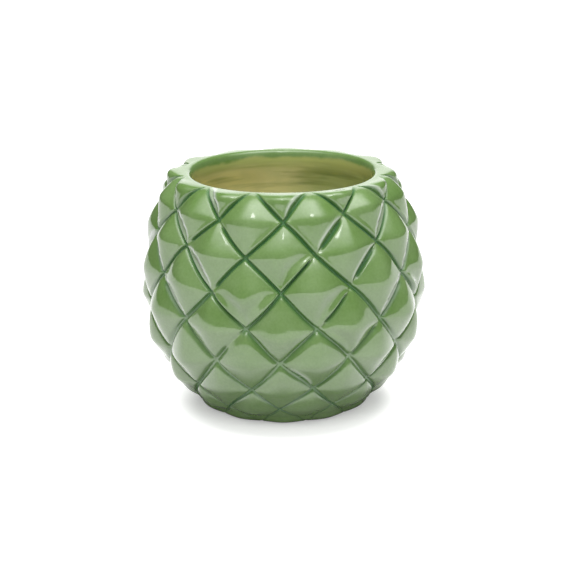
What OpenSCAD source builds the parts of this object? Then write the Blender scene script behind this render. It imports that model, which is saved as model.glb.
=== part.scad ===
// Open pineapple jar: one fired earthenware pot with a hand-cut diamond lattice,
// a green glaze coat outside and over the lip, and a honey glaze lining inside.
// The jar stands on z = 0 on its axis, and its front faces -Y.

/* [Clay body] */
// Radius of the belly, at the bottom of the grooves
belly_r = 62; // [45:0.5:90]
// Height of the belly's widest ring
belly_z = 57; // [45:0.5:68]
// Height of the lip's crest
height = 111.2; // [100:0.2:150]
// Radius of the upright foot
foot_r = 42; // [32:0.5:44]
// Height of the upright foot
foot_h = 5; // [4:0.2:7]
// Radius of the foot's rounded bottom edge
foot_round = 3.6; // [2:0.2:3.8]
// Thickness of the wall behind the grooves
wall = 6; // [4:0.5:9]
// Thickness of the floor
floor_t = 7; // [4:0.5:12]

/* [Lip] */
// Radius of the neck, where the lip begins
neck_r = 51; // [49:0.2:60]
// Height of the rounded outside of the lip
lip_h = 5.7; // [4:0.1:9]
// Radius of the lip's crest
crest_r = 45.2; // [44.5:0.1:48]
// Width of the level land on the crest, inward
crest_land = 0.8; // [0.4:0.1:1.4]
// Radius of the mouth at its narrowest
mouth_r = 42.4; // [38:0.1:42.8]
// Height over which the underside of the lip runs out into the wall
lip_under_h = 14; // [10:0.5:20]

/* [Diamond lattice] */
// Number of grooves of each hand round the jar
columns = 12; // [8:1:16]
// Number of diamond rows between the lip and the foot
rows = 8; // [6:2:10]
// Height of the first ring of groove crossings
first_row_z = 99.8; // [96:0.2:102]
// Height of the last ring of groove crossings
last_row_z = 3; // [2:0.2:6]
// Rise of a belly diamond's apex above the bottom of the grooves
boss_h = 6; // [2:0.1:7]
// Fullness of a diamond's upper faces, 0 is flat
boss_bulge = 0.13; // [0:0.01:0.2]
// Depth of the knife-cut grooves
groove_d = 1; // [0.4:0.1:1.6]
// Width of the knife-cut grooves
groove_w = 2.6; // [1.5:0.1:5]
// Softness of the upright ridge of a diamond, 0 is a sharp ridge
ridge_soft = 0.3; // [0.05:0.05:0.6]
// Turn of the whole lattice about the axis, in degrees
lattice_turn = -0.8; // [-15:0.1:15]

/* [Glaze] */
// Thickness of the green glaze coat
green_t = 0.5; // [0.3:0.05:0.8]
// Thickness of the honey glaze lining
honey_t = 0.4; // [0.2:0.05:0.8]
// Depth that the green glaze runs down inside the mouth
green_band = 4.5; // [3:0.5:8]
// Bare clay left between the green glaze and the table
bare_foot = 0.6; // [0.4:0.1:1.8]

/* [Hidden] */
$fn = 96;

// How far each groove was cut off its even mark, at the lip and at the foot, as a share of a diamond.
// The first list is for the grooves that fall to the left, the second for those that fall to the right.
left_cut_drift = [[0.05, -0.2], [0.05, 0], [-0.05, 0.05], [-0.1, 0], [0, -0.1], [0.05, -0.1],
    [0.05, 0], [-0.05, 0.1], [0.1, 0], [0, -0.05], [-0.05, 0.05], [0.05, 0]];
right_cut_drift = [[-0.1, 0.05], [0, 0], [0.05, -0.05], [0, 0], [-0.15, 0.05], [0, 0.2],
    [0.05, 0], [-0.05, 0.1], [0.1, -0.05], [0, 0.05], [-0.05, 0], [-0.1, 0]];

// Share of the first row over which the relief rises from the smooth lip, and what the relief gains there
lip_rise = 0.57;
lip_gain = 0.3;
// Share of the first row over which the bosses turn from level to square to the wall
lip_stand = 0.5;
// Share of the relief that is left at the foot, and what each row above it adds
foot_share = 0.25;
foot_rise = 0.6;
// How fast the relief shrinks with the radius, above and below the belly
upper_shrink = 0.6;
lower_shrink = 1.3;
wall_steps = 60;
lip_steps = 12;
inside_steps = 3;
under_steps = 12;

lip_z = height - lip_h;
clay_top_z = height - green_t;
band_z = height - green_band;

// The outside follows two elliptical arcs that meet at the belly, and stands on an upright foot.
low_h = (belly_z - foot_h) / sqrt(1 - pow(foot_r / belly_r, 2));
up_h = (lip_z - belly_z) / sqrt(1 - pow(neck_r / belly_r, 2));

function ellipse_h(z) = z < belly_z ? low_h : up_h;
function ellipse_r(z) = belly_r * sqrt(1 - pow((z - belly_z) / ellipse_h(z), 2));
function foot_edge(z) = foot_round - sqrt(pow(foot_round, 2) - pow(max(0, foot_round - z), 2));
function wall_r(z) = z < foot_h ? foot_r - foot_edge(z) : ellipse_r(z);
function wall_slope(z) = z < foot_h ? 0 : -pow(belly_r / ellipse_h(z), 2) * (z - belly_z) / wall_r(z);
function unit(v) = v / norm(v);
function wall_normal(z) = unit([1, -wall_slope(z)]);
function mix(a, b, t) = a + (b - a) * t;
function curve3(p, t) = mix(mix(p[0], p[1], t), mix(p[1], p[2], t), t);
function curve4(p, t) = mix(curve3([p[0], p[1], p[2]], t), curve3([p[1], p[2], p[3]], t), t);

// The lip's outside bends from the slope of the neck to the level crest.
lip_bend = [[neck_r, lip_z], [neck_r + wall_slope(lip_z) * lip_h, height], [crest_r, height]];

// Radius and height along the outside, at groove level, from the last ring of crossings to the crest
outline = concat(
    [for (i = [0:wall_steps]) let (z = mix(last_row_z, lip_z, i / wall_steps)) [wall_r(z), z]],
    [for (i = [1:lip_steps]) curve3(lip_bend, i / lip_steps)]
);
outline_normals = concat(
    [for (i = [0:wall_steps]) wall_normal(mix(last_row_z, lip_z, i / wall_steps))],
    [for (i = [1:lip_steps])
        let (run = mix(lip_bend[1] - lip_bend[0], lip_bend[2] - lip_bend[1], i / lip_steps))
        unit([run[1], -run[0]])]
);

// A groove that crosses every ring at the same angle turns by the length climbed over the radius.
climb = [for (i = [1:len(outline) - 1])
    2 * norm(outline[i] - outline[i - 1]) / (outline[i][0] + outline[i - 1][0])];
turn_up = [for (i = 0, sum = 0; i < len(outline); sum = sum + (i < len(climb) ? climb[i] : 0), i = i + 1)
    sum];
radius_table = [for (i = [0:len(outline) - 1]) [turn_up[i], outline[i][0]]];
height_table = [for (i = [0:len(outline) - 1]) [turn_up[i], outline[i][1]]];
normal_r_table = [for (i = [0:len(outline) - 1]) [turn_up[i], outline_normals[i][0]]];
normal_z_table = [for (i = [0:len(outline) - 1]) [turn_up[i], outline_normals[i][1]]];
turn_table = [for (i = [0:wall_steps]) [outline[i][1], turn_up[i]]];
first_turn = lookup(first_row_z, turn_table);
crest_turn = turn_up[len(turn_up) - 1];

// Rows are counted from 0 at the crest to the last ring of crossings.
function row_turn(row) =
    row < 1 ? mix(crest_turn, first_turn, row) : first_turn * (rows - row) / (rows - 1);

// Places across a diamond where its mesh has a line: both groove banks, and one or three ridges between.
side = 2 * PI * belly_r / columns / sqrt(2);
bank = groove_w / 2 / side;
coarse = [0, bank, 0.5, 1 - bank];
fine = [0, bank, 0.3, 0.5, 0.7, 1 - bank];

// Grooves are counted round the jar, and the drift runs evenly from one groove to the next.
function drift_mark(cuts, count) = cuts[((count % columns + columns) % columns) % len(cuts)];
function drift_of(cuts, count, part, t) =
    let (here = drift_mark(cuts, count), next = drift_mark(cuts, count + 1))
    mix(mix(here[0], next[0], part), mix(here[1], next[1], part), t);

// Relief over a diamond: p and q run from groove to groove in the two directions.
function rounded(x) = sqrt(x * x + ridge_soft * ridge_soft) - ridge_soft;
function soft(x) = rounded(x) / rounded(1);
function rise(p, q) =
    let (
        edge = min(p, 1 - p, q, 1 - q),
        across = abs(p - q),
        down = p + q - 1,
        bulge = 4 * boss_bulge * max(0, -down) * (1 - abs(down) - across)
    )
    groove_d * min(1, edge / bank) + (boss_h - groove_d) * (1 - soft(across) - abs(down) + bulge);
function fade(row) =
    min(1, row / lip_rise, foot_share + foot_rise * (rows - row)) * (1 + lip_gain * max(0, 1 - row));
function shrink(r, z) = pow(r / belly_r, z > belly_z ? upper_shrink : lower_shrink);

// A point of the lattice surface. Line a falls to the left and line b to the right, as counted on a mesh of
// the given places, and sink moves the point inward.
function lattice_point(a, b, places, sink) =
    let (
        n = len(places),
        left = floor(a / n),
        right = floor(b / n),
        p = places[a - left * n],
        q = places[b - right * n],
        row = left + p + right + q - 1,
        held = min(1, row, rows - row),
        left_off = held * drift_of(left_cut_drift, left, p, row / rows),
        right_off = held * drift_of(right_cut_drift, right, q, row / rows),
        turn = row_turn(row + left_off + right_off),
        r = lookup(turn, radius_table),
        level = lookup(turn, height_table),
        h = rise(p, q) * fade(row) * shrink(r, level) - sink,
        angle = (left + p + left_off - right - q - right_off) * 180 / columns + lattice_turn,
        square = min(1, row / lip_stand),
        out = r + h * mix(1, lookup(turn, normal_r_table), square),
        z = level + h * square * lookup(turn, normal_z_table)
    )
    [out * sin(angle), -out * cos(angle), z];

// Rings of the lattice surface, from the crest down to the last ring of crossings
function lattice_rings(places, sink) =
    let (n = len(places))
    [for (e = [0:rows * n]) [for (a = [0:columns * n - 1]) lattice_point(a, e + n - a, places, sink)]];

// A level ring whose points stand under or over those of the lattice's first or last ring
function level_ring(places, point, last) =
    let (n = len(places))
    [for (a = [0:columns * n - 1])
        let (
            mark = floor(a / n) + places[a % n],
            angle = (2 * mark - 1 - (last ? rows : 0)) * 180 / columns + lattice_turn
        )
        [point[0] * sin(angle), -point[0] * cos(angle), point[1]]];

function joined(lists) = [for (list = lists) for (item = list) item];

// Triangles between ring i and the ring after it, in a stack of rings of n points
function band_faces(first, i, n) =
    [for (a = [0:n - 1])
        let (upper = first + i * n, lower = upper + n, b = (a + 1) % n)
        each [[upper + a, lower + b, lower + a], [upper + a, upper + b, lower + b]]];

function stack_faces(first, count, n) = joined([for (i = [0:count - 2]) band_faces(first, i, n)]);
function turned_over(faces) = [for (f = faces) [f[2], f[1], f[0]]];

// Triangles between a ring of fine points and a ring of coarse points at the same angles
function seam_faces(fine_first, coarse_first) =
    let (nf = len(fine), nc = len(coarse), all_f = nf * columns, all_c = nc * columns)
    [for (i = [0:columns - 1])
        let (
            f = [for (s = [0:nf]) fine_first + (i * nf + s) % all_f],
            c = [for (s = [0:nc]) coarse_first + (i * nc + s) % all_c]
        )
        each [
            [f[0], f[1], c[0]], [c[0], f[1], c[1]], [f[1], f[2], c[1]], [f[2], f[3], c[1]],
            [c[1], f[3], c[2]], [f[3], f[4], c[2]], [f[4], f[5], c[2]], [c[2], f[5], c[3]],
            [f[5], f[6], c[3]], [c[3], f[6], c[4]]
        ]];

// The lip's inside, from the crest's land down to the narrowest ring, at a given glaze thickness
function lip_inside(t) = [for (i = [0:inside_steps])
    let (angle = 90 * i / inside_steps)
    [crest_r - crest_land - (crest_r - crest_land - mouth_r - green_t + t) * sin(angle),
        band_z + (clay_top_z - band_z + t) * cos(angle)]];

// The inside of the clay below the green band, down to the floor
under_z = band_z - lip_under_h;
function clay_inside_at(z) = [wall_r(z), z] - wall * wall_normal(z);
lip_under = [[mouth_r + green_t, band_z], [mouth_r + green_t, band_z - lip_under_h / 3],
    clay_inside_at(under_z) + lip_under_h / 2 * unit([wall_slope(under_z), 1]), clay_inside_at(under_z)];
inside_low_z = [for (i = [0:wall_steps])
    let (z = mix(under_z, 0, i / wall_steps))
    if (clay_inside_at(z)[1] > floor_t) z];
clay_inside = concat(
    [for (i = [0:under_steps - 1]) curve4(lip_under, i / under_steps)],
    [for (i = [0:3:len(inside_low_z) - 1]) clay_inside_at(inside_low_z[i])],
    [[clay_inside_at(inside_low_z[len(inside_low_z) - 1])[0] - 1, floor_t]]
);

// The lining keeps its thickness square to the clay: its line is the clay's, moved in along the normals.
function line_normal(line, i) =
    let (run = line[min(i + 1, len(line) - 1)] - line[max(i - 1, 0)])
    unit([run[1], -run[0]]);
honey_inside = concat(
    [clay_inside[0] - [honey_t, 0]],
    [for (i = [1:len(clay_inside) - 2]) clay_inside[i] + honey_t * line_normal(clay_inside, i)],
    [clay_inside[len(clay_inside) - 1] + honey_t * [-0.4, 1]]
);

module clay_body() {
    n = len(coarse) * columns;
    rings = concat(
        lattice_rings(coarse, green_t),
        [level_ring(coarse, [wall_r(bare_foot) - green_t, bare_foot], true)],
        [level_ring(coarse, [foot_r - foot_round, 0], true)]
    );
    last = (len(rings) - 1) * n;
    crest_face = [for (a = [0:n - 1]) n - 1 - a];
    foot_face = [for (a = [0:n - 1]) last + a];
    color("sienna")
        difference() {
            polyhedron(joined(rings), concat([crest_face], stack_faces(0, len(rings), n), [foot_face]));
            rotate_extrude()
                polygon(concat(
                    [[0, height], [crest_r - crest_land, height]],
                    [for (i = [0:inside_steps - 1]) lip_inside(0)[i]],
                    clay_inside,
                    [[0, floor_t]]
                ));
        }
}

// The coat is a closed skin: up inside the mouth, over the crest, down to the foot and back along the clay.
module green_glaze() {
    nf = len(fine) * columns;
    nc = len(coarse) * columns;
    shown = concat(
        [for (i = [inside_steps:-1:0]) level_ring(fine, lip_inside(green_t)[i], false)],
        lattice_rings(fine, 0),
        [level_ring(fine, [wall_r(bare_foot), bare_foot], true)]
    );
    hidden = concat(
        [for (i = [inside_steps:-1:0]) level_ring(coarse, lip_inside(0)[i], false)],
        lattice_rings(coarse, green_t),
        [level_ring(coarse, [wall_r(bare_foot) - green_t, bare_foot], true)]
    );
    hidden_first = len(shown) * nf;
    faces = concat(
        stack_faces(0, len(shown), nf),
        turned_over(stack_faces(hidden_first, len(hidden), nc)),
        turned_over(seam_faces(0, hidden_first)),
        seam_faces(hidden_first - nf, hidden_first + (len(hidden) - 1) * nc)
    );
    color("mediumseagreen")
        polyhedron(joined(concat(shown, hidden)), faces);
}

module honey_glaze() {
    last = len(honey_inside) - 1;
    color("darkkhaki")
        rotate_extrude()
            polygon(concat(
                clay_inside,
                [[0, floor_t], [0, floor_t + honey_t]],
                [for (i = [last:-1:0]) honey_inside[i]]
            ));
}

clay_body();
green_glaze();
honey_glaze();
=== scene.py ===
import math

import bmesh
import bpy
import numpy as np
from mathutils import Matrix, Vector, noise


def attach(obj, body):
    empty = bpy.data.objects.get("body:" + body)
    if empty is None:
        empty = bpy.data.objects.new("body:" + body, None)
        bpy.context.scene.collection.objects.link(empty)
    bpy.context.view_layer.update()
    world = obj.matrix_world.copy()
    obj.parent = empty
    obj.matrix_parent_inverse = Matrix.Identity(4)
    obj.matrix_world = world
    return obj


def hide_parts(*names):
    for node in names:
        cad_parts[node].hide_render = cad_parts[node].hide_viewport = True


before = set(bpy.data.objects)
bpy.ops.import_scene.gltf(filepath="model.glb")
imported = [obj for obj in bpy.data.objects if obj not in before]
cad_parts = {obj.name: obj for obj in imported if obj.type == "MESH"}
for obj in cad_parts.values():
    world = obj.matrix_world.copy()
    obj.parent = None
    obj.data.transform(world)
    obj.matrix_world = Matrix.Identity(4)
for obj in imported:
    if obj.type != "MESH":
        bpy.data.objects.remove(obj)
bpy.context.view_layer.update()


# Clay body: one thick-walled earthenware pot, thrown to a barrel with a rounded lip and a flat foot.
# Two sets of knife-cut grooves cross on its outside and leave a diamond boss in each field.
# It is fired before it is glazed, and shows only as a bare ring above the table and under the foot.
belly_r = 0.062
belly_z = 0.057
height = 0.1112
foot_r = 0.042
foot_h = 0.005
foot_in = 0.0075
foot_edge_z = 0.0004
wall = 0.006
floor_t = 0.007
neck_r = 0.0510
lip_h = 0.0057
crest_r = 0.0452
mouth_r = 0.0424
lip_land = 0.0038
lip_under_h = 0.014
green_t = 0.0005
green_band = 0.0045
bare_foot = 0.0006
lip_z = height - lip_h
band_z = height - green_band

# The lattice: rings of crossings run from row 0 at the crest, past row 1 at first_row_z, to the last row
# at the foot
columns = 12
rows = 8
first_row_z = 0.0998
last_row_z = 0.0012
lattice_turn = math.radians(-0.8)
side = 2 * math.pi * belly_r / columns / math.sqrt(2)
boss_h = 0.0060
boss_bulge = 0.13
ridge_soft = 0.3
crease_soft = 0.04
groove_d = 0.0012
groove_w = 0.0006

# How far each groove was cut off its even mark, at the lip and at the foot, as a share of a diamond
left_cut_drift = np.array([
    [0.05, -0.2], [0.05, 0], [-0.05, 0.05], [-0.1, 0], [0, -0.1], [0.05, -0.1],
    [0.05, 0], [-0.05, 0.1], [0.1, 0], [0, -0.05], [-0.05, 0.05], [0.05, 0]])
right_cut_drift = np.array([
    [-0.1, 0.05], [0, 0], [0.05, -0.05], [0, 0], [-0.15, 0.05], [0, 0.2],
    [0.05, 0], [-0.05, 0.1], [0.1, -0.05], [0, 0.05], [-0.05, 0], [-0.1, 0]])

# The lattice starts lip_plain rows under the crest and is full lip_rise rows on. Half bosses stand fuller
# there, and turn from straight outwards to square to the wall over lip_stand rows.
lip_plain = 0.05
lip_rise = 0.60
lip_stand = 0.5
lip_boost = 1.1
first_row_fill = 0.4

# Bosses run out at the foot, and shrink with the jar's girth by these powers above and below the belly
foot_share = 0.20
foot_rise = 0.45
narrowing_up = 0.6
narrowing_down = 1.3

# Between these heights the glaze fills the grooves, which leaves them wider, shallower and paler, with less
# pooled glaze and painted shade
fill_top = 0.075
fill_top_run = 0.035
fill_low = 0.010
fill_low_run = 0.022
filled_width = 1.8
filled_depth = 0.7
filled_pool_shade = 0.4

# Pooled glaze and painted shade darken a little wider than a groove is cut, from just under the lip, and less
# at the foot
pool_shade_width = 1.3
pool_shade_start = 0.25
pool_shade_at_foot = 0.3

# Beside some grooves the knife took a lens-shaped slice of the boss with it. Each is the row and column of
# its diamond, the lower edge that was cut, its kind, and its width and half length as shares of that edge.
# A scoop is a shallow hollow with a burr, a gash slopes down to the groove, and a ledge is flat at the
# groove's level.
slices = [
    (0, 0, "right", "gash", 0.10, 0.40), (0, -2, "left", "ledge", 0.17, 0.42),
    (0, 4, "left", "gash", 0.10, 0.36), (1, 1, "right", "gash", 0.13, 0.40),
    (1, -3, "left", "ledge", 0.21, 0.47), (1, 3, "right", "ledge", 0.19, 0.47),
    (2, 0, "right", "scoop", 0.22, 0.44), (2, 2, "right", "gash", 0.14, 0.42),
    (2, -2, "left", "ledge", 0.18, 0.45), (2, -4, "left", "ledge", 0.17, 0.47),
    (2, 4, "right", "ledge", 0.18, 0.47), (3, 1, "right", "scoop", 0.20, 0.42),
    (3, -1, "left", "scoop", 0.22, 0.44), (3, -1, "right", "scoop", 0.24, 0.44),
    (3, -3, "left", "ledge", 0.18, 0.48), (3, 3, "right", "ledge", 0.18, 0.47),
    (4, 2, "left", "scoop", 0.20, 0.36), (4, -4, "left", "ledge", 0.15, 0.46),
    (4, 4, "right", "ledge", 0.15, 0.46), (5, 1, "left", "gash", 0.12, 0.34),
    (1, 5, "right", "gash", 0.12, 0.40), (3, 5, "left", "scoop", 0.20, 0.40),
    (2, 6, "right", "scoop", 0.22, 0.40), (4, 8, "right", "scoop", 0.20, 0.40),
    (2, 8, "left", "gash", 0.12, 0.38), (3, 9, "right", "scoop", 0.24, 0.42),
    (5, 9, "left", "scoop", 0.16, 0.36), (2, -6, "right", "ledge", 0.12, 0.40),
    (4, -6, "left", "gash", 0.12, 0.38), (1, -7, "right", "gash", 0.12, 0.36),
    (3, 11, "right", "scoop", 0.22, 0.40), (3, -5, "left", "ledge", 0.14, 0.46),
    (5, -3, "left", "ledge", 0.12, 0.42), (5, 3, "right", "ledge", 0.12, 0.42),
]
scoop_d = 0.0012
scoop_wall = 0.16
scoop_burr = 0.0010
gash_d = 0.0022
# Painted shade with pooled glaze darkens each gash's slope by this share
gash_pool_shade = 0.45
# Painted highlight: near-white colour along the gashes' lips by this share, along the ledges' lips in full,
# and over the ledges' floors by the ledge share
gash_painted_highlight = 0.5
ledge_step = 0.02
ledge_painted_highlight = 0.25
slice_lip = 0.0003
slice_lip_w = 0.03

# Where the knife lifted short of a crossing the groove is bridged. Each is a place on groove lines a and b,
# and the whole number of the two says which groove it is.
bridges = [
    (2, 0.09), (2, 0.91), (3, 0.10), (3, 0.90), (2, 1.08), (3, 1.12), (3, 1.88),
    (4, 0.10), (4, 1.10), (0.12, 2), (0, 2.90), (1, 2.92), (2, 3.20), (2, 3.34), (2, 3.48),
    (0.10, 4), (5, -1.10), (6, -1.90), (7, -3.10), (7, -3.90), (8, -4.90),
    (9, -5.10), (9.90, -6), (8.10, -3), (10.90, -7), (11, -5.90),
]
bridge_r = 0.10

# The knife leaves a low burr along the lower edges of each boss, least where the glaze fills the groove
edge_burr = 0.00042
edge_burr_in = 0.0013
edge_burr_w = 0.0007
burr_filled = 0.6
burr_even = 0.7
burr_uneven = 0.6

# No two bosses are cut quite alike: each has its own height and lean, and a crease that bows down or up.
# Some bow by more or less than chance gives, or stand lower.
height_spread = 0.07
lean_spread = 0.10
bow_spread = 0.08
rng = np.random.default_rng(41)
boss_spread = 1 + height_spread * rng.uniform(-1, 1, (rows + 2, columns))
boss_lean = lean_spread * rng.uniform(-1, 1, (rows + 2, columns))
crease_bow = bow_spread * rng.uniform(-0.5, 1, (rows + 2, columns))
groove_phase = rng.uniform(0, 2 * math.pi, (2, columns))
for bow_row, bow_column, bow in ((3, -1, 0.14), (4, 0, 0.18), (2, 0, 0), (1, 1, 0.06), (3, 1, -0.03)):
    crease_bow[bow_row, (bow_row + bow_column) // 2 % columns] = bow
for low_row, low_column, share in (
        (0, 4, 0.75), (0, 6, 0.6), (0, 10, 0.7), (0, 12, 0.6), (0, 14, 0.7),
        (1, 5, 0.85), (1, 7, 0.85), (6, 0, 0.55), (6, 2, 0.75), (6, -2, 0.7)):
    boss_spread[low_row, (low_row + low_column) // 2 % columns] = share

# The hand-finished surface: grooves that wander, a slightly wavy glaze and a rim that tilts and ripples
groove_wobble = 0.022
surface_wave = 0.00026
waves_per_metre = 105
rim_lift = 0.0002
rim_tilt = 0.0008
rim_high_side = math.radians(190)
rim_ripple = 0.0002
rim_ripples = 3

low_h = (belly_z - foot_h) / math.sqrt(1 - (foot_r / belly_r) ** 2)
up_h = (lip_z - belly_z) / math.sqrt(1 - (neck_r / belly_r) ** 2)


def wall_radius(z):
    """The radius of the wall at groove level, with a rounded edge under the foot's height."""
    h = np.where(z < belly_z, low_h, up_h)
    under = np.maximum(0, 1 - z / foot_h)
    foot = foot_r - foot_in * (1 - np.sqrt(1 - under ** 2))
    return np.where(z < foot_h, foot, belly_r * np.sqrt(1 - ((z - belly_z) / h) ** 2))


def wall_slope(z):
    """How fast the wall's radius grows with height."""
    h = np.where(z < belly_z, low_h, up_h)
    return np.where(z < foot_h, 0, -((belly_r / h) ** 2) * (z - belly_z) / wall_radius(z))


def mix(a, b, t):
    return a + (b - a) * t


def bend(points, t):
    """A point of the smooth bend that a row of guide points gives."""
    while len(points) > 1:
        points = [mix(p, q, t) for p, q in zip(points, points[1:])]
    return points[0]


# The outside at groove level, from the last ring of crossings to the crest, with finer steps at the foot
fine_z = 0.006
foot_steps = 12
wall_steps = 58
lip_steps = 13
lip_swell = 0.4
wall_zs = np.concatenate([
    np.linspace(last_row_z, fine_z, foot_steps)[:-1], np.linspace(fine_z, lip_z, wall_steps)])
lip_swell_r = neck_r + float(wall_slope(lip_z)) * lip_swell * lip_h
lip_guides = [np.array(p) for p in (
    (neck_r, lip_z), (lip_swell_r, lip_z + lip_swell * lip_h),
    (crest_r + lip_land, height), (crest_r, height))]
lip_curve = np.array([bend(lip_guides, t) for t in np.linspace(0, 1, lip_steps)[1:]])
outline = np.vstack([np.column_stack([wall_radius(wall_zs), wall_zs]), lip_curve])
runs = np.gradient(outline, axis=0)
outward = np.column_stack([runs[:, 1], -runs[:, 0]])
outward /= np.linalg.norm(outward, axis=1)[:, None]
outward[-1] = (0, 1)

# Diamonds keep their proportions where each step up the wall is measured as a share of its radius
climb = 2 * np.linalg.norm(np.diff(outline, axis=0), axis=1) / (outline[1:, 0] + outline[:-1, 0])
turn_up = np.concatenate([[0], np.cumsum(climb)])
first_turn = np.interp(first_row_z, outline[:, 1], turn_up)


def softened(x, s):
    """The distance x from a ridge, rounded over a width s."""
    return (np.sqrt(x * x + s * s) - s) / (math.sqrt(1 + s * s) - s)


def drift(cuts, line, part, t):
    """How far a groove lies off its even mark a share t of the way down, carried over to the next groove."""
    here = cuts[line % columns]
    after = cuts[(line + 1) % columns]
    return mix(mix(here[:, 0], after[:, 0], part), mix(here[:, 1], after[:, 1], part), t)


def wobble(phases, line, part, along):
    """How far a hand-cut groove wanders off its line, carried evenly over to the next groove."""
    here = phases[line % columns]
    after = phases[(line + 1) % columns]
    return groove_wobble * mix(np.sin(math.pi * along + here), np.sin(math.pi * along + after), part)


def unevenness(points):
    """The slight waves that fingers and a thick glaze leave, between -1 and 1 at each point."""
    return np.array([noise.noise(Vector(point) * waves_per_metre) for point in points])


def rim_wave(angle):
    """How far the hand-finished rim stands off its even height at an angle round from the front."""
    tilt = rim_tilt * np.cos(angle - rim_high_side)
    return rim_lift + tilt + rim_ripple * np.cos(rim_ripples * angle)


def open_grooves(a, b):
    """How open the grooves of each set are, from 0 where one is bridged to 1."""
    open_a = np.ones_like(a)
    open_b = np.ones_like(a)
    for bridge_a, bridge_b in bridges:
        rounds = columns * np.round((a - bridge_a) / columns)
        gap = np.hypot(a - rounds - bridge_a, b + rounds - bridge_b)
        still_open = 1 - np.exp(-(gap / bridge_r) ** 4)
        if bridge_a == int(bridge_a):
            open_a = open_a * still_open
        else:
            open_b = open_b * still_open
    return open_a, open_b


# Points closer than this are one
hair = 1e-6


def sliced(left, boss_row, p, q):
    """What the slices leave: the rise or fall, pooled glaze with painted shade, near-white painted highlight,
    and the boss's own p and q.
    """
    hollow = np.zeros_like(p)
    gash_shade = np.zeros_like(p)
    painted_highlight = np.zeros_like(p)
    boss_p = p
    boss_q = q
    for slice_row, slice_column, edge, kind, width, half_length in slices:
        mine = (boss_row == slice_row) & ((left - (slice_row + slice_column) // 2) % columns == 0)
        along, off = (p, 1 - q) if edge == "left" else (q, 1 - p)
        taper = np.sqrt(np.maximum(0, 1 - ((along - 0.5) / half_length) ** 2))
        reach = width * taper
        lip = taper * np.exp(-((off - reach - ledge_step) / slice_lip_w) ** 2)
        moved = off
        if kind == "gash":
            slope = np.clip(1 - off / np.maximum(reach, hair), 0, 1)
            cut = slice_lip * lip - gash_d * taper * slope
            # Painted highlight along the gash's lip
            painted_highlight = np.where(mine, np.maximum(painted_highlight, gash_painted_highlight * lip), painted_highlight)
            # Painted shade with pooled glaze over the gash's slope
            gash_shade = np.where(mine & (off < reach), gash_pool_shade * taper, gash_shade)
        elif kind == "ledge":
            cut = slice_lip * lip
            # Painted highlight along the ledge's lip, fainter over its floor
            flat = np.where(off < reach, ledge_painted_highlight * taper, 0)
            painted_highlight = np.where(mine, np.maximum(lip, flat), painted_highlight)
            step = np.clip((off - reach) / (2 * ledge_step) + 0.5, 0, 1)
            moved = np.where(taper > 0, off * step * step * (3 - 2 * step), off)
        else:
            burr = scoop_burr * (reach - off) / width
            scoop_side = np.clip(1 - (off - reach) / scoop_wall, 0, 1)
            cut = np.where(off < reach, burr - scoop_d * taper, -scoop_d * taper * scoop_side)
            moved = np.maximum(off, reach)
        hollow = np.where(mine, hollow + cut, hollow)
        if edge == "left":
            boss_q = np.where(mine, 1 - moved, boss_q)
        else:
            boss_p = np.where(mine, 1 - moved, boss_p)
    return hollow, gash_shade, painted_highlight, boss_p, boss_q


# Mesh lines crowd towards the grooves by this much
line_crowding = 0.7 / (2 * math.pi)


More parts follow.
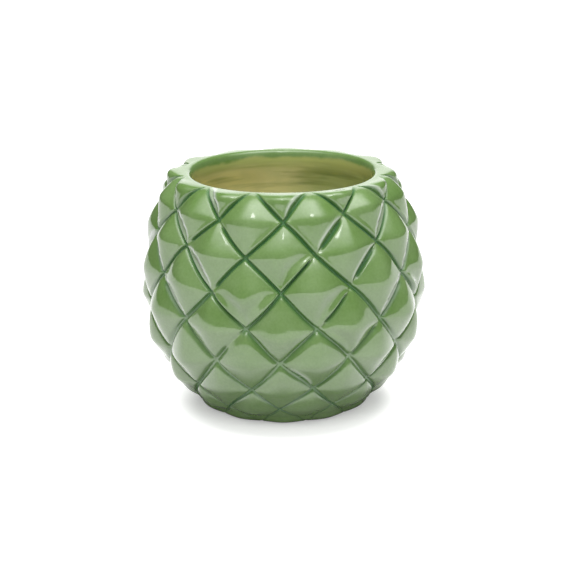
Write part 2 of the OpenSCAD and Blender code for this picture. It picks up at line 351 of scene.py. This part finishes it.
def lattice(a, b, sink):
    """Points of the jar's outside at groove lines a, which fall left, and b, which fall right.

    It also gives the share of pooled glaze with painted shade, and of near-white painted highlight, at each
    point.
    Between a groove of either set and the next one, p and q run from 0 to 1."""
    left = np.floor(a + hair).astype(int)
    right = np.floor(b + hair).astype(int)
    p = a - left
    q = b - right
    p = p - line_crowding * np.sin(2 * math.pi * p)
    q = q - line_crowding * np.sin(2 * math.pi * q)
    boss_row = left + right
    boss_number = left % columns

    # Each point's place on the wall, with the drift and the wobble of the two grooves beside it
    row = left + p + right + q - 1
    held = np.minimum(1, np.minimum(row, rows - row))
    left_wander = drift(left_cut_drift, left, p, row / rows) + wobble(groove_phase[0], left, p, right + q)
    right_wander = drift(right_cut_drift, right, q, row / rows) + wobble(groove_phase[1], right, q, left + p)
    left_off = held * left_wander
    right_off = held * right_wander
    place = row + left_off + right_off
    lip_turn = mix(turn_up[-1], first_turn, place)
    turn = np.where(place < 1, lip_turn, first_turn * (rows - place) / (rows - 1))
    angle = (left + p + left_off - right - q - right_off) * math.pi / columns + lattice_turn
    r = np.interp(turn, turn_up, outline[:, 0])
    even_z = np.interp(turn, turn_up, outline[:, 1])

    # The grooves, wider and shallower where the glaze fills them, with a gap where they are bridged
    near_a = np.minimum(p, 1 - p) * side
    near_b = np.minimum(q, 1 - q) * side
    under_top = np.clip((fill_top - even_z) / fill_top_run, 0, 1)
    filled = under_top * np.clip((even_z - fill_low) / fill_low_run, 0, 1)
    cut_w = groove_w * mix(1, filled_width, filled)
    cut_d = groove_d * mix(1, filled_depth, filled)
    open_a, open_b = open_grooves(left + p, right + q)
    trough_a = open_a * np.exp(-(near_a / cut_w) ** 2)
    trough_b = open_b * np.exp(-(near_b / cut_w) ** 2)
    banks = (1 - trough_a) * (1 - trough_b)

    # The boss of each diamond has a crisp level crease, a soft upright ridge and full upper faces
    hollow, gash_shade, painted_highlight, boss_p, boss_q = sliced(left, boss_row, p, q)
    inner = 16 * p * (1 - p) * q * (1 - q)
    across = boss_p - boss_q
    down = boss_p + boss_q - 1
    down = down - crease_bow[boss_row, boss_number] * inner
    boss = 1 - softened(across, ridge_soft) - softened(down, crease_soft)
    lean = boss_lean[boss_row, boss_number] * across * inner
    boss = boss * mix(1, boss_spread[boss_row, boss_number], inner) + lean
    boss = boss + boss_bulge * 4 * np.maximum(0, -down) * np.maximum(0, 1 - np.abs(down) - np.abs(across))
    edge_level = np.abs(p - q) - softened(p - q, ridge_soft)

    # The lip stays plain, half bosses stand out at once under it and the first full row rises evenly
    below_lip = np.clip((row - lip_plain) / lip_rise, 0, 1)
    lip_fade = below_lip * (2 - below_lip)
    half_fade = lip_fade * (1 + lip_boost * np.clip(1 - row, 0, 1))
    boss_fade = np.where(boss_row == 0, half_fade, np.clip(row, 0, 1) ** first_row_fill)
    boss_rise = ((boss_h - groove_d) * boss + hollow) * boss_fade
    edge_rise = (boss_h - groove_d) * edge_level * lip_fade
    rise = cut_d * banks * lip_fade + mix(edge_rise, boss_rise, banks)

    # The burr along the lower edges, the uneven surface and the run-out at the foot
    foot_fade = np.minimum(1, foot_share + foot_rise * (rows - row))
    foot_fade = foot_fade * (r / belly_r) ** np.where(even_z > belly_z, narrowing_up, narrowing_down)
    uneven = unevenness(np.column_stack([r * np.sin(angle), -r * np.cos(angle), even_z]))
    lower_edge = np.minimum(1 - p, 1 - q) * side
    burred = np.exp(-((lower_edge - edge_burr_in) / edge_burr_w) ** 2) * (1 - burr_filled * filled)
    rise = rise + edge_burr * burred * lip_fade * (burr_even + burr_uneven * uneven)
    rise = (rise + surface_wave * uneven * np.clip(row, 0, 1)) * foot_fade

    # Bosses stand square to the wall, but straight outwards at the crest
    square = np.minimum(1, row / lip_stand)
    waved_z = even_z + rim_wave(angle) * np.clip((even_z - lip_z) / lip_h, 0, 1)
    level_part = np.interp(turn, turn_up, outward[:, 0])
    upright_part = np.interp(turn, turn_up, outward[:, 1])
    out = r + rise * mix(1, level_part, square) - sink * level_part
    z = waved_z + (rise * square - sink) * upright_part

    # Pooled glaze and painted shade darken the grooves and the gashes
    pool_shade_w = pool_shade_width * cut_w
    pool_and_shade = np.maximum(open_a * np.exp(-(near_a / pool_shade_w) ** 2), open_b * np.exp(-(near_b / pool_shade_w) ** 2))
    pool_and_shade = pool_and_shade * np.clip((row - lip_plain) / pool_shade_start, 0, 1)
    pool_and_shade = np.maximum(pool_and_shade * mix(1, filled_pool_shade, filled), gash_shade) * np.clip(rows - row, pool_shade_at_foot, 1)
    return np.column_stack([out * np.sin(angle), -out * np.cos(angle), z]), pool_and_shade, painted_highlight


def lattice_skin(lines, sink):
    """The jar's outside, open at the crest and above the foot, with that many mesh lines across a diamond."""
    skin = bmesh.new()
    bmesh.ops.create_grid(skin, x_segments=columns * lines, y_segments=(columns + rows) * lines, size=1)
    bmesh.ops.scale(skin, vec=(columns / 2, (columns + rows) / 2, 1), verts=skin.verts)
    bmesh.ops.translate(skin, vec=(columns / 2, (rows - columns) / 2 + 1, 0), verts=skin.verts)
    for groove_sum, way in ((1, -1), (rows + 1, 1)):
        bmesh.ops.bisect_plane(
            skin, geom=skin.verts[:] + skin.edges[:] + skin.faces[:], dist=1e-4,
            plane_co=(0, groove_sum, 0), plane_no=(way, way, 0), clear_outer=True)
    sheet = np.round(np.array([v.co for v in skin.verts]) * lines) / lines
    points, pool_and_shade, painted_highlight = lattice(sheet[:, 0], sheet[:, 1], sink)
    # Each point keeps its share of pooled glaze with painted shade, and of near-white painted highlight
    pool_shade_layer = skin.verts.layers.float.new("pool_and_shade")
    highlight_layer = skin.verts.layers.float.new("highlight_paint")
    for v, point, pool_shade_level, highlight_share in zip(skin.verts, points, pool_and_shade, painted_highlight):
        v.co = point
        v[pool_shade_layer] = pool_shade_level
        v[highlight_layer] = highlight_share
    bmesh.ops.remove_doubles(skin, verts=skin.verts, dist=hair)
    bmesh.ops.recalc_face_normals(skin, faces=skin.faces)
    return skin


def open_edge(mesh, top):
    """The open edge at the top or at the bottom of a mesh."""
    return [e for e in mesh.edges if e.is_boundary and (e.verts[0].co.z > belly_z) == top]


def lead_edge(mesh, ring, path):
    """Extrudes an open edge through rings of the given radius and height, which follow the rim's wave."""
    for radius, z in path:
        drawn = bmesh.ops.extrude_edge_only(mesh, edges=ring)["geom"]
        for v in drawn:
            if isinstance(v, bmesh.types.BMVert):
                level = Vector((v.co.x, v.co.y, 0)).normalized()
                lift = rim_wave(math.atan2(level.x, -level.y)) * max(0, (z - lip_z) / lip_h)
                v.co = level * radius + Vector((0, 0, z + lift))
        ring = [e for e in drawn if isinstance(e, bmesh.types.BMEdge)]


# The lip's inside rounds over from the crest, and the cavity has a rounded corner at its floor.
# Close rings beside the ends of the coats hold their smooth shading straight there.
lip_round_in = 0.8
lip_round_down = 0.35
cavity_low_z = 0.008
cavity_steps = 32
lip_under_steps = 16
corner_h = 0.0035
corner_guide = 0.003
corner_in = 0.008
corner_steps = 7
edge_hold = 0.00003


def lip_inside(t, steps):
    """The lip's inside, from the crest to the narrowest ring, under a glaze of thickness t."""
    top = height - green_t + t
    narrow = mouth_r + green_t - t
    guides = [np.array(p) for p in (
        (crest_r, top), (mix(crest_r, narrow, lip_round_in), top),
        (narrow, mix(top, band_z, lip_round_down)), (narrow, band_z))]
    line = [tuple(bend(guides, u)) for u in np.linspace(0, 1, steps + 1)[1:]]
    return line[:-1] + [(narrow, band_z + edge_hold), line[-1]]


def inside_at(z, inset):
    """The point inside the wall at a height, square to the wall by the inset."""
    slope = float(wall_slope(z))
    return np.array((float(wall_radius(z)), z)) - inset * np.array((1, -slope)) / math.hypot(1, slope)


def cavity(inset):
    """The line of the cavity from the green band down to the floor, inset from the bare clay."""
    under_z = band_z - lip_under_h
    slope = np.array((float(wall_slope(under_z)), 1))
    low = inside_at(under_z, wall + inset)
    mouth = mouth_r + green_t - inset
    guides = [np.array((mouth, band_z)), np.array((mouth, band_z - lip_under_h / 3)),
              low + lip_under_h / 2 * slope / np.linalg.norm(slope), low]
    line = [bend(guides, t) for t in np.linspace(0, 1, lip_under_steps)]
    line.insert(1, guides[0] - np.array((0, edge_hold)))
    floor_z = floor_t + inset
    line += [inside_at(z, wall + inset) for z in np.linspace(under_z, cavity_low_z, cavity_steps)[1:]]
    line = [p for p in line if p[1] > floor_z + corner_h]
    start = line[-1]
    corner = [start, np.array((start[0] - corner_guide, floor_z)), np.array((start[0] - corner_in, floor_z))]
    line += [bend(corner, t) for t in np.linspace(0, 1, corner_steps)[1:]]
    return [tuple(p) for p in line]


def make_piece(name, mesh, material):
    """A smooth-shaded object of the finished mesh."""
    for face in mesh.faces:
        face.smooth = True
    data = bpy.data.meshes.new(name)
    mesh.to_mesh(data)
    mesh.free()
    data.materials.append(material)
    piece = bpy.data.objects.new(name, data)
    bpy.context.scene.collection.objects.link(piece)
    return piece


def new_finish(name):
    """A material, its node tree and its main shader."""
    material = bpy.data.materials.new(name)
    material.use_nodes = True
    return material, material.node_tree, material.node_tree.nodes["Principled BSDF"]


def add_node(tree, kind, values=None, **settings):
    """A node with its settings, and with the values of the sockets that nothing feeds."""
    node = tree.nodes.new(kind)
    for setting, value in settings.items():
        setattr(node, setting, value)
    for socket, value in (values or {}).items():
        node.inputs[socket].default_value = value
    return node


# Kiln mottle: slow clouds and fine specks of tone that firing leaves in clay and in glaze
mottle = bpy.data.node_groups.new("kiln_mottle", "ShaderNodeTree")
for socket_name, socket_way in (
        ("Cloud size", "INPUT"), ("Speck size", "INPUT"), ("Clouds", "OUTPUT"), ("Specks", "OUTPUT")):
    mottle.interface.new_socket(socket_name, in_out=socket_way, socket_type="NodeSocketFloat")
mottle_in = add_node(mottle, "NodeGroupInput")
mottle_out = add_node(mottle, "NodeGroupOutput")
mottle_place = add_node(mottle, "ShaderNodeTexCoord")
for patch_size, patch_mask in (("Cloud size", "Clouds"), ("Speck size", "Specks")):
    per_metre = add_node(mottle, "ShaderNodeMath", {0: 1}, operation="DIVIDE")
    mottle.links.new(mottle_in.outputs[patch_size], per_metre.inputs[1])
    patches = add_node(mottle, "ShaderNodeTexNoise", {"Detail": 3})
    mottle.links.new(mottle_place.outputs["Object"], patches.inputs["Vector"])
    mottle.links.new(per_metre.outputs[0], patches.inputs["Scale"])
    full_range = add_node(mottle, "ShaderNodeMapRange", {"From Min": 0.3, "From Max": 0.7})
    mottle.links.new(patches.outputs["Fac"], full_range.inputs["Value"])
    mottle.links.new(full_range.outputs["Result"], mottle_out.inputs[patch_mask])

dark_clay = (0.52, 0.27, 0.15, 1)
pale_clay = (0.63, 0.37, 0.23, 1)
clay_grit = (0.72, 0.66, 0.60, 1)
clay_finish, tree, shader = new_finish("bare_earthenware")
kiln = add_node(tree, "ShaderNodeGroup", node_tree=mottle)
kiln.inputs["Cloud size"].default_value = 0.012
kiln.inputs["Speck size"].default_value = 0.0007
tone = add_node(tree, "ShaderNodeMix", {"A": dark_clay, "B": pale_clay}, data_type="RGBA")
tree.links.new(kiln.outputs["Clouds"], tone.inputs["Factor"])
grit = add_node(tree, "ShaderNodeMix", {"B": clay_grit}, data_type="RGBA", blend_type="MULTIPLY")
tree.links.new(kiln.outputs["Specks"], grit.inputs["Factor"])
tree.links.new(tone.outputs["Result"], grit.inputs["A"])
tree.links.new(grit.outputs["Result"], shader.inputs["Base Color"])
tooth = add_node(tree, "ShaderNodeBump", {"Distance": 0.0002, "Strength": 0.6})
tree.links.new(kiln.outputs["Specks"], tooth.inputs["Height"])
tree.links.new(tooth.outputs["Normal"], shader.inputs["Normal"])
shader.inputs["Roughness"].default_value = 0.88

# The clay's mesh closes at the middle of its floor and its foot round a small disc
clay_lines = 10
lip_rings = 6
middle_r = 0.002
glaze_end_r = float(wall_radius(bare_foot))
clay = lattice_skin(clay_lines, green_t)
clay_inside = lip_inside(0, lip_rings) + cavity(0)[1:] + [(middle_r, floor_t)]
clay_foot = [
    (glaze_end_r - green_t, bare_foot), (float(wall_radius(foot_edge_z)), foot_edge_z),
    (foot_r - foot_in, 0), (middle_r, 0)]
lead_edge(clay, open_edge(clay, True), clay_inside)
lead_edge(clay, open_edge(clay, False), clay_foot)
bmesh.ops.holes_fill(clay, edges=[e for e in clay.edges if e.is_boundary])
bmesh.ops.recalc_face_normals(clay, faces=clay.faces)
clay_piece = make_piece("jar_clay", clay, clay_finish)
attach(clay_piece, "root")
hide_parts("clay_body")


# Green glaze: a copper-green glaze poured over the outside and the lip and a few millimetres into the mouth.
# It is glassy and pools darker in the grooves and gashes, where painted shade darkens it further.
# A near-white painted highlight lies along the lips of the slices and over the ledges.
# It is fused to the clay by firing, and wiped off the bottom edge so that the jar doesn't stick.
green_deep = (0.132, 0.242, 0.058, 1)
green_pale = (0.190, 0.302, 0.110, 1)
green_speck = (0.86, 0.90, 0.84, 1)
# The darkest green is pooled glaze with painted shade, and the near-white one is a painted highlight
green_pooled_and_shaded = (0.030, 0.135, 0.032, 1)
green_painted_highlight = (0.84, 0.88, 0.84, 1)
green_over_honey = (0.38, 0.42, 0.14, 1)
glaze_finish, tree, shader = new_finish("green_glaze")
pooled_and_shaded = add_node(tree, "ShaderNodeAttribute", attribute_name="pool_and_shade")
kiln = add_node(tree, "ShaderNodeGroup", node_tree=mottle)
kiln.inputs["Cloud size"].default_value = 0.016
kiln.inputs["Speck size"].default_value = 0.0011
tone = add_node(tree, "ShaderNodeMix", {"A": green_deep, "B": green_pale}, data_type="RGBA")
tree.links.new(kiln.outputs["Clouds"], tone.inputs["Factor"])
specked = add_node(tree, "ShaderNodeMix", {"B": green_speck}, data_type="RGBA", blend_type="MULTIPLY")
tree.links.new(kiln.outputs["Specks"], specked.inputs["Factor"])
tree.links.new(tone.outputs["Result"], specked.inputs["A"])
# Pooled glaze and painted shade darken the grooves and gashes
darkened_grooves = add_node(tree, "ShaderNodeMix", {"B": green_pooled_and_shaded}, data_type="RGBA")
tree.links.new(pooled_and_shaded.outputs["Fac"], darkened_grooves.inputs["Factor"])
tree.links.new(specked.outputs["Result"], darkened_grooves.inputs["A"])
# Painted highlight: near-white colour along the lips of the slices and over the ledges
highlighted = add_node(tree, "ShaderNodeAttribute", attribute_name="highlight_paint")
with_highlight = add_node(tree, "ShaderNodeMix", {"B": green_painted_highlight}, data_type="RGBA")
tree.links.new(highlighted.outputs["Fac"], with_highlight.inputs["Factor"])
tree.links.new(darkened_grooves.outputs["Result"], with_highlight.inputs["A"])

# Inside the mouth the green ends in a ragged edge over the honey glaze
wiped = add_node(tree, "ShaderNodeAttribute", attribute_name="brush_end")
ragged = add_node(tree, "ShaderNodeMath", {1: 0.5}, operation="MULTIPLY_ADD")
tree.links.new(kiln.outputs["Clouds"], ragged.inputs[0])
tree.links.new(wiped.outputs["Fac"], ragged.inputs[2])
brush_thin = add_node(
    tree, "ShaderNodeMapRange", {"From Min": 0.6, "From Max": 1.1}, interpolation_type="SMOOTHSTEP")
tree.links.new(ragged.outputs[0], brush_thin.inputs["Value"])
faded = add_node(tree, "ShaderNodeMix", {"B": green_over_honey}, data_type="RGBA")
tree.links.new(brush_thin.outputs["Result"], faded.inputs["Factor"])
tree.links.new(with_highlight.outputs["Result"], faded.inputs["A"])
tree.links.new(faded.outputs["Result"], shader.inputs["Base Color"])
peel = add_node(tree, "ShaderNodeBump", {"Distance": 0.0003, "Strength": 0.45})
tree.links.new(kiln.outputs["Clouds"], peel.inputs["Height"])
tree.links.new(peel.outputs["Normal"], shader.inputs["Normal"])
dull = add_node(tree, "ShaderNodeMapRange", {"To Min": 0.09, "To Max": 0.5})
tree.links.new(pooled_and_shaded.outputs["Fac"], dull.inputs["Value"])
tree.links.new(dull.outputs["Result"], shader.inputs["Roughness"])
shader.inputs["IOR"].default_value = 1.8

# The coat is the fine outside and the clay's own skin turned round, joined at the mouth and at the foot
glaze_lines = 28
glaze_lip_rings = 12
lip_reach = 0.0001
glaze = lattice_skin(glaze_lines, 0)
lead_edge(glaze, open_edge(glaze, True), lip_inside(green_t, glaze_lip_rings))
lead_edge(glaze, open_edge(glaze, False), [(glaze_end_r, bare_foot)])
brush_end = glaze.verts.layers.float.new("brush_end")
for v in glaze.verts:
    if v.co.xy.length < crest_r - lip_reach and v.co.z > belly_z:
        v[brush_end] = (height - v.co.z) / green_band
hidden = lattice_skin(clay_lines, green_t)
lead_edge(hidden, open_edge(hidden, True), lip_inside(0, lip_rings))
lead_edge(hidden, open_edge(hidden, False), [(glaze_end_r - green_t, bare_foot)])
bmesh.ops.reverse_faces(hidden, faces=hidden.faces)
hidden_data = bpy.data.meshes.new("hidden_side")
hidden.to_mesh(hidden_data)
hidden.free()
glaze.from_mesh(hidden_data)
bpy.data.meshes.remove(hidden_data)
for top in (True, False):
    bmesh.ops.bridge_loops(glaze, edges=open_edge(glaze, top))
glaze_piece = make_piece("jar_green_glaze", glaze, glaze_finish)
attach(glaze_piece, "root")
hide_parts("green_glaze")


# Honey glaze: a clear lead-type glaze brushed round the inside, from the green band down over the floor.
# The clay shows through it as honey brown, with streaks from the brush and smears of green from the lip.
# It is fused to the clay by firing, and meets the green glaze edge to edge.
honey_t = green_t
honey_deep = (0.43, 0.51, 0.23, 1)
honey_pale = (0.86, 0.77, 0.40, 1)
honey_streak = (0.48, 0.56, 0.42, 1)
honey_finish, tree, shader = new_finish("honey_glaze")
kiln = add_node(tree, "ShaderNodeGroup", node_tree=mottle)
kiln.inputs["Cloud size"].default_value = 0.014
kiln.inputs["Speck size"].default_value = 0.0012
tone = add_node(tree, "ShaderNodeMix", {"A": honey_deep, "B": honey_pale}, data_type="RGBA")
place_inside = add_node(tree, "ShaderNodeTexCoord")
honey_axes = add_node(tree, "ShaderNodeSeparateXYZ")
tree.links.new(place_inside.outputs["Object"], honey_axes.inputs["Vector"])
# Painted light: the inside is painted paler towards its left side and darker towards its right, as if lit
# from the right
painted_light_leftward = add_node(
    tree, "ShaderNodeMapRange", {"From Min": -0.045, "From Max": 0.045, "To Min": 1.4, "To Max": -0.6})
tree.links.new(honey_axes.outputs["X"], painted_light_leftward.inputs["Value"])
paler = add_node(tree, "ShaderNodeMath", {1: 0.4}, operation="MULTIPLY_ADD", use_clamp=True)
tree.links.new(kiln.outputs["Clouds"], paler.inputs[0])
tree.links.new(painted_light_leftward.outputs["Result"], paler.inputs[2])
tree.links.new(paler.outputs[0], tone.inputs["Factor"])
round_inside = add_node(tree, "ShaderNodeMapping", {"Scale": (22, 22, 190)})
tree.links.new(place_inside.outputs["Object"], round_inside.inputs["Vector"])
streak = add_node(tree, "ShaderNodeTexNoise", {"Scale": 1, "Detail": 3})
tree.links.new(round_inside.outputs["Vector"], streak.inputs["Vector"])
smudge = add_node(tree, "ShaderNodeMapRange", {"From Min": 0.48, "From Max": 0.68})
tree.links.new(streak.outputs["Fac"], smudge.inputs["Value"])
brushed = add_node(tree, "ShaderNodeMix", {"B": honey_streak}, data_type="RGBA", blend_type="MULTIPLY")
tree.links.new(smudge.outputs["Result"], brushed.inputs["Factor"])
tree.links.new(tone.outputs["Result"], brushed.inputs["A"])

# The green runs down a little way into the honey glaze
run_end = {"From Min": band_z - 0.003, "From Max": band_z + 0.005}
ragged = add_node(tree, "ShaderNodeMath", {1: 0.008}, operation="MULTIPLY_ADD")
tree.links.new(streak.outputs["Fac"], ragged.inputs[0])
tree.links.new(honey_axes.outputs["Z"], ragged.inputs[2])
run_down = add_node(tree, "ShaderNodeMapRange", run_end, interpolation_type="SMOOTHSTEP")
tree.links.new(ragged.outputs[0], run_down.inputs["Value"])
smeared = add_node(tree, "ShaderNodeMix", {"B": green_over_honey}, data_type="RGBA")
tree.links.new(run_down.outputs["Result"], smeared.inputs["Factor"])
tree.links.new(brushed.outputs["Result"], smeared.inputs["A"])
tree.links.new(smeared.outputs["Result"], shader.inputs["Base Color"])
brush_marks = add_node(tree, "ShaderNodeBump", {"Distance": 0.0006, "Strength": 0.5})
tree.links.new(streak.outputs["Fac"], brush_marks.inputs["Height"])
tree.links.new(brush_marks.outputs["Normal"], shader.inputs["Normal"])
shader.inputs["Roughness"].default_value = 0.16
shader.inputs["IOR"].default_value = 1.7

lining_segments = 144
lining = bmesh.new()
bmesh.ops.create_circle(lining, cap_ends=True, cap_tris=True, segments=lining_segments, radius=middle_r)
bmesh.ops.translate(lining, vec=(0, 0, floor_t + honey_t), verts=lining.verts)
lining_path = cavity(honey_t)[::-1] + cavity(0) + [(middle_r, floor_t)]
lead_edge(lining, [e for e in lining.edges if e.is_boundary], lining_path)
bmesh.ops.holes_fill(lining, edges=[e for e in lining.edges if e.is_boundary])
bmesh.ops.recalc_face_normals(lining, faces=lining.faces)
lining_piece = make_piece("jar_honey_lining", lining, honey_finish)
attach(lining_piece, "root")
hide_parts("honey_glaze")


# Floor: the plain white table that the jar stands on, as matt as paper.
# It glows a little, so that it looks white straight on, and less so close to the jar, where the shade lies.
# That lower glow near the jar is a painted shadow round the foot, laid over the real one.
# In the glaze's mirror it is painted dark close to the jar, is brightest a little way off, and is painted
# dimmer far away.
painted_shadow_middle = (0.001, -0.012, 0)
floor_finish, tree, shader = new_finish("white_table")
shader.inputs["Roughness"].default_value = 0.9
shader.inputs["Specular IOR Level"].default_value = 0
shader.inputs["Emission Color"].default_value = (1, 1, 1, 1)
ray = add_node(tree, "ShaderNodeLightPath")
straight = add_node(tree, "ShaderNodeMath", operation="MAXIMUM")
tree.links.new(ray.outputs["Is Camera Ray"], straight.inputs[0])
tree.links.new(ray.outputs["Is Transmission Ray"], straight.inputs[1])
spot_on_table = add_node(tree, "ShaderNodeTexCoord")
from_shade = add_node(tree, "ShaderNodeVectorMath", {1: painted_shadow_middle}, operation="DISTANCE")
tree.links.new(spot_on_table.outputs["Object"], from_shade.inputs[0])
straight_glow = add_node(tree, "ShaderNodeMath", operation="MULTIPLY")
tree.links.new(straight.outputs[0], straight_glow.inputs[0])
mirrored_painted_shade = add_node(tree, "ShaderNodeMath", operation="MULTIPLY")
glow = add_node(tree, "ShaderNodeMath", operation="MULTIPLY_ADD")
tree.links.new(ray.outputs["Is Glossy Ray"], glow.inputs[0])
tree.links.new(mirrored_painted_shade.outputs[0], glow.inputs[1])
tree.links.new(straight_glow.outputs[0], glow.inputs[2])
tree.links.new(glow.outputs[0], shader.inputs["Emission Strength"])
# Painted shadow: the glow is lower near the jar straight on, nil near it in the mirror, and lower far off in
# the mirror
for near, far, near_glow, far_glow, fed in (
        (0.041, 0.057, 0.40, 0.87, straight_glow.inputs[1]),
        (0.045, 0.062, 0, 1.2, mirrored_painted_shade.inputs[0]),
        (0.12, 0.26, 1, 0.75, mirrored_painted_shade.inputs[1])):
    by_distance = add_node(
        tree, "ShaderNodeMapRange",
        {"From Min": near, "From Max": far, "To Min": near_glow, "To Max": far_glow},
        interpolation_type="SMOOTHSTEP")
    tree.links.new(from_shade.outputs["Value"], by_distance.inputs["Value"])
    tree.links.new(by_distance.outputs["Result"], fed)
paper = add_node(tree, "ShaderNodeMath", {1: -0.05, 2: 0.6}, operation="MULTIPLY_ADD")
tree.links.new(ray.outputs["Is Diffuse Ray"], paper.inputs[0])
mirrored_paper = add_node(tree, "ShaderNodeMath", {1: -0.1}, operation="MULTIPLY_ADD")
tree.links.new(ray.outputs["Is Glossy Ray"], mirrored_paper.inputs[0])
tree.links.new(paper.outputs[0], mirrored_paper.inputs[2])
tree.links.new(mirrored_paper.outputs[0], shader.inputs["Base Color"])
table_top = bmesh.new()
bmesh.ops.create_grid(table_top, x_segments=1, y_segments=1, size=6)
floor = make_piece("table_top", table_top, floor_finish)


# Light: a studio with a pale room in front, dim at the sides and behind, and a white sheet low behind.
# A soft glow hangs high in front, widened sideways. Two soft lamps light the jar and aren't mirrored,
# and a small one high in front gives the glints on the bosses.
glow_middle = Vector((0.06, -0.26, 1)).normalized()
glow_widening = (0.55, 1, 1)
glow_edge = 0.72
glow_gain = 3.4
world = bpy.data.worlds.new("studio")
world.use_nodes = True
bpy.context.scene.world = world
tree = world.node_tree
ground = tree.nodes["Background"]
way = add_node(tree, "ShaderNodeTexCoord")
sides = add_node(tree, "ShaderNodeSeparateXYZ")
tree.links.new(way.outputs["Generated"], sides.inputs["Vector"])
room = add_node(
    tree, "ShaderNodeMapRange", {"From Min": -0.6, "From Max": 0.3, "To Min": 0.25, "To Max": 0.08},
    interpolation_type="SMOOTHSTEP")
tree.links.new(sides.outputs["Y"], room.inputs["Value"])
off_axis = add_node(tree, "ShaderNodeMath", operation="ABSOLUTE")
tree.links.new(sides.outputs["X"], off_axis.inputs[0])
wedge = add_node(tree, "ShaderNodeMath", {1: -1.5}, operation="MULTIPLY_ADD")
tree.links.new(off_axis.outputs[0], wedge.inputs[0])
tree.links.new(sides.outputs["Y"], wedge.inputs[2])
sheet_share = add_node(
    tree, "ShaderNodeMapRange", {"From Min": 0.25, "From Max": 0.75}, interpolation_type="SMOOTHSTEP")
tree.links.new(wedge.outputs[0], sheet_share.inputs["Value"])
walls = add_node(tree, "ShaderNodeMix", {"B": 1.6}, data_type="FLOAT")
tree.links.new(sheet_share.outputs["Result"], walls.inputs["Factor"])
tree.links.new(room.outputs["Result"], walls.inputs["A"])
widened = add_node(tree, "ShaderNodeVectorMath", {1: glow_widening}, operation="MULTIPLY")
tree.links.new(way.outputs["Generated"], widened.inputs[0])
wide_way = add_node(tree, "ShaderNodeVectorMath", operation="NORMALIZE")
tree.links.new(widened.outputs["Vector"], wide_way.inputs[0])
overhead = add_node(tree, "ShaderNodeVectorMath", {1: glow_middle}, operation="DOT_PRODUCT")
tree.links.new(wide_way.outputs["Vector"], overhead.inputs[0])
glow_share = add_node(tree, "ShaderNodeMapRange", {"From Min": glow_edge})
tree.links.new(overhead.outputs["Value"], glow_share.inputs["Value"])
falloff = add_node(tree, "ShaderNodeMath", {1: 3}, operation="POWER")
tree.links.new(glow_share.outputs["Result"], falloff.inputs[0])
sky = add_node(tree, "ShaderNodeMath", {1: glow_gain}, operation="MULTIPLY_ADD")
tree.links.new(falloff.outputs[0], sky.inputs[0])
tree.links.new(walls.outputs["Result"], sky.inputs[2])

# Straight on, the room is cut out to plain white
sight = add_node(tree, "ShaderNodeLightPath")
cut_out = add_node(tree, "ShaderNodeMix", {"B": 1}, data_type="FLOAT")
tree.links.new(sight.outputs["Is Camera Ray"], cut_out.inputs["Factor"])
tree.links.new(sky.outputs[0], cut_out.inputs["A"])
tree.links.new(cut_out.outputs["Result"], ground.inputs["Strength"])
ground.inputs["Color"].default_value = (1, 1, 1, 1)
lamp_aim = Vector((0, 0, 0.06))
for lamp_name, lamp_size, power, mirrored, spot in (
        ("front_fill", 0.6, 5.0, False, (-0.04, -0.78, 0.78)),
        ("back_top", 0.8, 7.4, False, (0.12, 0.50, 1.20)),
        ("glint_lamp", 0.2, 0.6, True, (0, -0.62, 1.06))):
    lamp = bpy.data.lights.new(lamp_name, "AREA")
    lamp.shape = "DISK"
    lamp.size = lamp_size
    lamp.energy = power
    stand = bpy.data.objects.new(lamp_name, lamp)
    stand.location = spot
    stand.rotation_euler = (lamp_aim - stand.location).to_track_quat("-Z", "Y").to_euler()
    stand.visible_glossy = mirrored
    bpy.context.scene.collection.objects.link(stand)
bpy.context.scene.view_settings.view_transform = "Standard"


# Camera: a long lens about 0.7 m off, looking down on the jar by about 17 degrees.
# Its place, tilt, roll and length were fitted to where the groove crossings lie in the photograph.
photo_px = 570
focal_px = 1530.7
sensor_mm = 36
camera_spot = (0.00068, -0.7, 0.2641)
camera_tilt = 0.29
camera_roll = -0.011
lens = bpy.data.cameras.new("camera")
lens.sensor_width = sensor_mm
lens.lens = sensor_mm * focal_px / photo_px
camera = bpy.data.objects.new("camera", lens)
camera.matrix_world = (
    Matrix.Translation(camera_spot) @ Matrix.Rotation(math.pi / 2 - camera_tilt, 4, "X")
    @ Matrix.Rotation(camera_roll, 4, "Z"))
bpy.context.scene.collection.objects.link(camera)
bpy.context.scene.camera = camera
